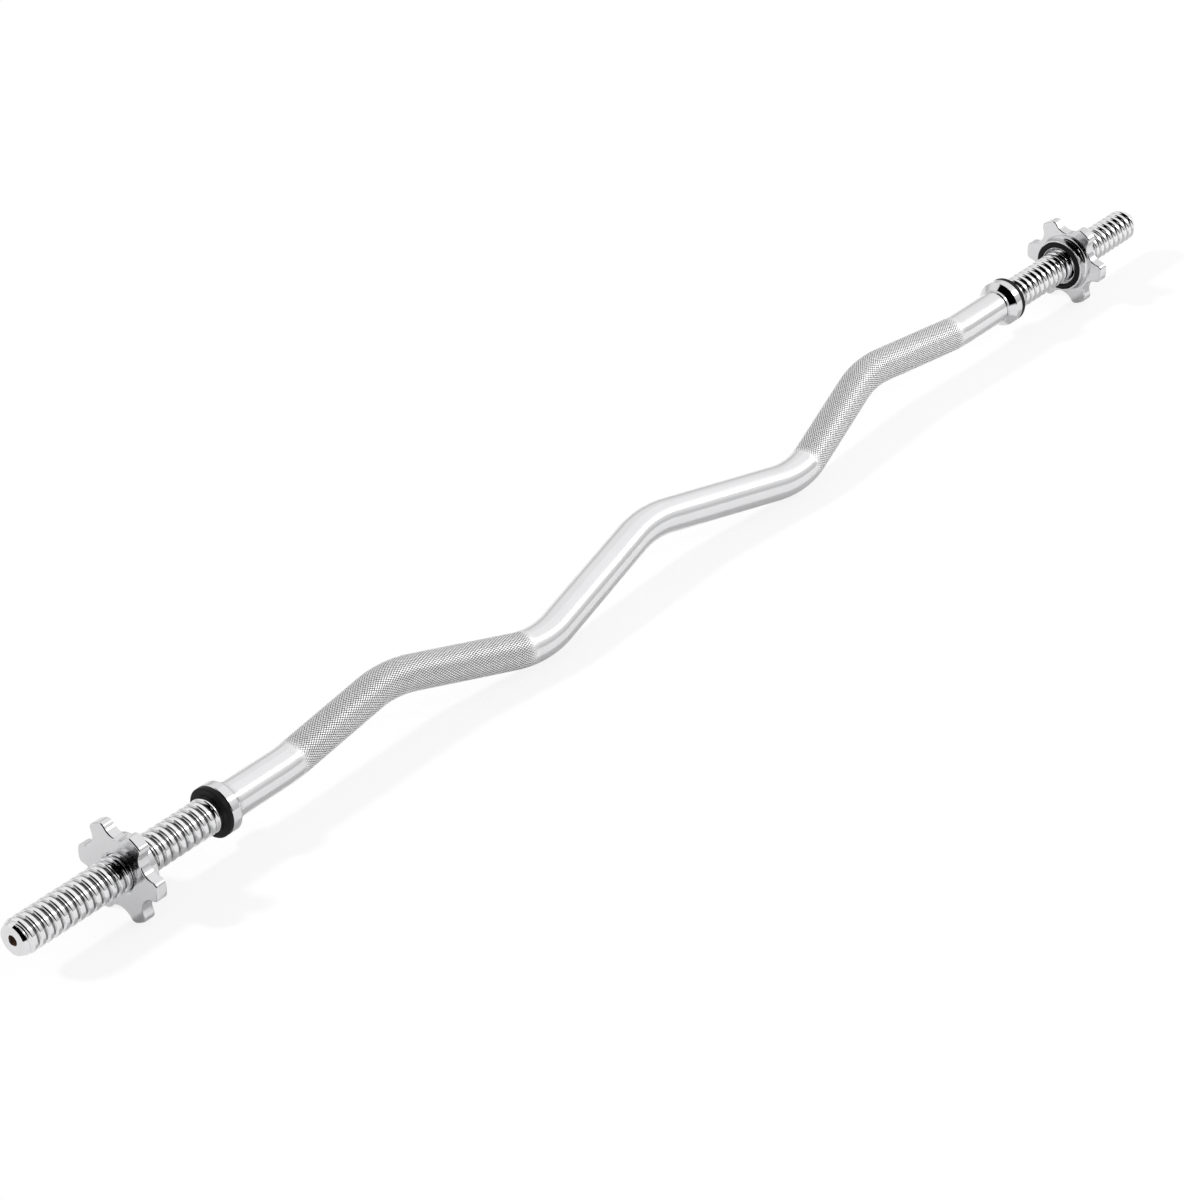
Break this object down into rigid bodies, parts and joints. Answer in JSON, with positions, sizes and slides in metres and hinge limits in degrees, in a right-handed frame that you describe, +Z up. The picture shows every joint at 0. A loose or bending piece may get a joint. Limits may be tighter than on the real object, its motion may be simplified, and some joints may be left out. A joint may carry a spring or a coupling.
{
  "type": "ez curl bar",
  "caption": "Cambered steel curl bar with knurled grips, fixed inner collars and threaded sleeves on which lobed star nuts clamp weight plates.",
  "frame": {"origin": "on the floor under the middle of the bar, with the bar lying on the lobes of its two nuts", "axes": "+X along the bar from the left end to the right end, +Z up, +Y the way the grips' crests lean"},
  "size_m": [1.2, 0.0686, 0.0633],
  "materials": {
    "bar_steel": "satin plated steel, knurled grips, bright rolled thread",
    "collar_chrome": "bright chrome",
    "nut_chrome": "bright chrome",
    "ring_rubber": "moulded, satin black"
  },
  "bodies": {
    "bar": {"bar": "bar_steel", "left_inner_collar": "collar_chrome", "left_collar_ring": "ring_rubber", "right_inner_collar": "collar_chrome", "right_collar_ring": "ring_rubber"},
    "left_nut_ring": {"left_nut_ring": "ring_rubber"},
    "left_star_nut": {"left_star_nut": "nut_chrome"},
    "right_nut_ring": {"right_nut_ring": "ring_rubber"},
    "right_star_nut": {"right_star_nut": "nut_chrome"}
  },
  "joints": [
    {"name": "left_nut_travel", "type": "slide", "parent": "bar", "child": "left_nut_ring", "axis": [-1, 0, 0], "range_m": [-0.063, 0.0877]},
    {"name": "left_nut_turn", "type": "hinge", "parent": "left_nut_ring", "child": "left_star_nut", "pos_m": [-0.5143, 0, 0.03167], "axis": [-1, 0, 0], "range_deg": [-3489, 4857]},
    {"name": "right_nut_travel", "type": "slide", "parent": "bar", "child": "right_nut_ring", "axis": [1, 0, 0], "range_m": [-0.0705, 0.0802]},
    {"name": "right_nut_turn", "type": "hinge", "parent": "right_nut_ring", "child": "right_star_nut", "pos_m": [0.5218, 0, 0.03167], "axis": [1, 0, 0], "range_deg": [-3904, 4441]}
  ],
  "couplings": [
    {"joint": "left_nut_travel", "follows": "left_nut_turn", "m_per_rad": 0.0010345},
    {"joint": "right_nut_travel", "follows": "right_nut_turn", "m_per_rad": 0.0010345}
  ]
}
